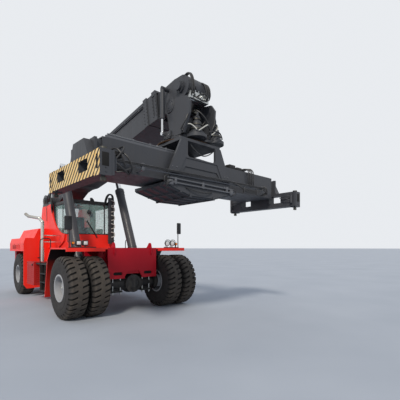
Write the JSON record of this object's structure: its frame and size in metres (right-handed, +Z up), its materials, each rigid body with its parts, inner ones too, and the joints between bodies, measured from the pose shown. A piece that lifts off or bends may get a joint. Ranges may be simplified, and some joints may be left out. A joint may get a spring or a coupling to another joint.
{
  "type": "container reach stacker",
  "caption": "Container-handling reach stacker: telescopic boom over a cab, rotating spreader with twistlocks, twin drive wheels and steered rear wheels.",
  "frame": {"origin": "bottom centre of the box at rest, on the ground; the machine's centre plane is at y = -0.3 because the spreader stands side-shifted", "axes": "+X forward, +Y left, +Z up"},
  "size_m": [11.5495, 6.073, 5.88],
  "materials": {
    "tyre": "matte",
    "silver_paint": "satin",
    "black_paint": "satin",
    "red_casting": "satin",
    "engine_block": "matte",
    "cab_glass": "gloss",
    "exhaust_steel": "satin",
    "chrome_rod": "gloss",
    "lock_steel": "matte",
    "red_paint": "gloss",
    "grey_paint": "satin"
  },
  "bodies": {
    "chassis": {"frame": "red_paint", "front_plate": "red_paint", "mudguard_right": "red_paint", "mudguard_left": "red_paint", "drive_axle": "black_paint", "steer_axle": "black_paint", "counterweight": "red_casting", "hood": "red_paint", "engine": "engine_block", "wing_right": "red_paint", "wing_left": "red_paint", "boom_tower": "red_paint", "cab_shell": "red_paint", "cab_interior": "black_paint", "cab_glass": "cab_glass", "side_unit_right": "black_paint", "side_unit_left": "black_paint", "exhaust": "exhaust_steel", "lamps_mirrors": "black_paint"},
    "drive_wheels_right": {"drive_tyres_right": "tyre", "drive_rims_right": "silver_paint"},
    "drive_wheels_left": {"drive_tyres_left": "tyre", "drive_rims_left": "silver_paint"},
    "knuckle_right": {"knuckle_right": "black_paint"},
    "knuckle_left": {"knuckle_left": "black_paint"},
    "steer_wheel_right": {"steer_tyre_right": "tyre", "steer_rim_right": "silver_paint"},
    "steer_wheel_left": {"steer_tyre_left": "tyre", "steer_rim_left": "silver_paint"},
    "door": {"door": "black_paint"},
    "boom": {"boom_outer": "grey_paint"},
    "inner_boom": {"boom_inner": "grey_paint"},
    "lift_barrels": {"lift_barrels": "grey_paint"},
    "lift_rods": {"lift_rods": "chrome_rod"},
    "tilt_barrels": {"tilt_barrels": "grey_paint"},
    "tilt_rods": {"tilt_rods": "chrome_rod"},
    "yoke": {"yoke": "grey_paint"},
    "carriage": {"carriage": "grey_paint"},
    "spreader_beam": {"spreader_beam": "grey_paint"},
    "arm_right": {"arm_right": "grey_paint"},
    "arm_left": {"arm_left": "grey_paint"},
    "twistlock_front_right": {"twistlock_front_right": "lock_steel"},
    "twistlock_rear_right": {"twistlock_rear_right": "lock_steel"},
    "twistlock_front_left": {"twistlock_front_left": "lock_steel"},
    "twistlock_rear_left": {"twistlock_rear_left": "lock_steel"}
  },
  "joints": [
    {"name": "drive_spin_right", "type": "hinge", "parent": "chassis", "child": "drive_wheels_right", "pos_m": [1.925, -1.82, 0.835], "axis": [0, 1, 0], "continuous": true},
    {"name": "drive_spin_left", "type": "hinge", "parent": "chassis", "child": "drive_wheels_left", "pos_m": [1.925, 1.22, 0.835], "axis": [0, 1, 0], "continuous": true},
    {"name": "steer_right", "type": "hinge", "parent": "chassis", "child": "knuckle_right", "pos_m": [-4.075, -1.35, 0.835], "axis": [0, 0, 1], "range_deg": [-50, 50]},
    {"name": "steer_left", "type": "hinge", "parent": "chassis", "child": "knuckle_left", "pos_m": [-4.075, 0.75, 0.835], "axis": [0, 0, 1], "range_deg": [-50, 50]},
    {"name": "steer_spin_right", "type": "hinge", "parent": "knuckle_right", "child": "steer_wheel_right", "pos_m": [-4.075, -1.74, 0.835], "axis": [0, 1, 0], "continuous": true},
    {"name": "steer_spin_left", "type": "hinge", "parent": "knuckle_left", "child": "steer_wheel_left", "pos_m": [-4.075, 1.14, 0.835], "axis": [0, 1, 0], "continuous": true},
    {"name": "door_swing", "type": "hinge", "parent": "chassis", "child": "door", "pos_m": [-2.315, 0.514, 2.7], "axis": [0, 0, 1], "range_deg": [0, 90]},
    {"name": "boom_lift", "type": "hinge", "parent": "chassis", "child": "boom", "pos_m": [-3.525, -0.3, 3.85], "axis": [0, -1, 0], "range_deg": [-9, 51]},
    {"name": "boom_extend", "type": "slide", "parent": "boom", "child": "inner_boom", "axis": [-0.9877, 0, -0.1564], "range_m": [-5.3, 0]},
    {"name": "lift_barrel_swing", "type": "hinge", "parent": "chassis", "child": "lift_barrels", "pos_m": [0.775, -0.3, 1.05], "axis": [0, -1, 0], "range_deg": [-1.05, 5.97]},
    {"name": "lift_rod_slide", "type": "slide", "parent": "lift_barrels", "child": "lift_rods", "axis": [-0.4014, 0, 0.9159], "range_m": [-0.4213, 2.383]},
    {"name": "yoke_level", "type": "hinge", "parent": "inner_boom", "child": "yoke", "pos_m": [4.54503, -0.3, 5.24561], "axis": [0, -1, 0], "range_deg": [-51, 9]},
    {"name": "tilt_barrel_swing", "type": "hinge", "parent": "inner_boom", "child": "tilt_barrels", "pos_m": [4.38495, -0.3, 5.70017], "axis": [0, -1, 0], "range_deg": [-30.3, 5.35]},
    {"name": "tilt_rod_slide", "type": "slide", "parent": "tilt_barrels", "child": "tilt_rods", "axis": [0, 0, -1], "range_m": [-0.2235, 0.0403]},
    {"name": "rotator", "type": "hinge", "parent": "yoke", "child": "carriage", "pos_m": [4.545, -0.3, 4.33], "axis": [0, 0, 1], "range_deg": [-275, 5]},
    {"name": "side_shift", "type": "slide", "parent": "carriage", "child": "spreader_beam", "axis": [0, 1, 0], "range_m": [-1.1, 0.5]},
    {"name": "telescope_right", "type": "slide", "parent": "spreader_beam", "child": "arm_right", "axis": [0, -1, 0], "range_m": [0, 3.066]},
    {"name": "telescope_left", "type": "slide", "parent": "spreader_beam", "child": "arm_left", "axis": [0, 1, 0], "range_m": [0, 3.066]},
    {"name": "lock_front_right", "type": "hinge", "parent": "arm_right", "child": "twistlock_front_right", "pos_m": [5.6745, -2.9265, 3.2], "axis": [0, 0, 1], "range_deg": [0, 90]},
    {"name": "lock_rear_right", "type": "hinge", "parent": "arm_right", "child": "twistlock_rear_right", "pos_m": [3.4155, -2.9265, 3.2], "axis": [0, 0, 1], "range_deg": [0, 90]},
    {"name": "lock_front_left", "type": "hinge", "parent": "arm_left", "child": "twistlock_front_left", "pos_m": [5.6745, 2.9265, 3.2], "axis": [0, 0, 1], "range_deg": [0, 90]},
    {"name": "lock_rear_left", "type": "hinge", "parent": "arm_left", "child": "twistlock_rear_left", "pos_m": [3.4155, 2.9265, 3.2], "axis": [0, 0, 1], "range_deg": [0, 90]}
  ],
  "couplings": [
    {"joint": "steer_left", "follows": "steer_right", "ratio": 1},
    {"joint": "lift_barrel_swing", "follows": "boom_lift", "ratio": 0.117},
    {"joint": "lift_rod_slide", "follows": "boom_lift", "m_per_rad": 2.676},
    {"joint": "yoke_level", "follows": "boom_lift", "ratio": -1},
    {"joint": "tilt_barrel_swing", "follows": "boom_lift", "ratio": -0.594},
    {"joint": "tilt_rod_slide", "follows": "boom_lift", "m_per_rad": -0.25},
    {"joint": "telescope_left", "follows": "telescope_right", "ratio": 1},
    {"joint": "lock_rear_right", "follows": "lock_front_right", "ratio": 1},
    {"joint": "lock_front_left", "follows": "lock_front_right", "ratio": 1},
    {"joint": "lock_rear_left", "follows": "lock_front_right", "ratio": 1}
  ]
}
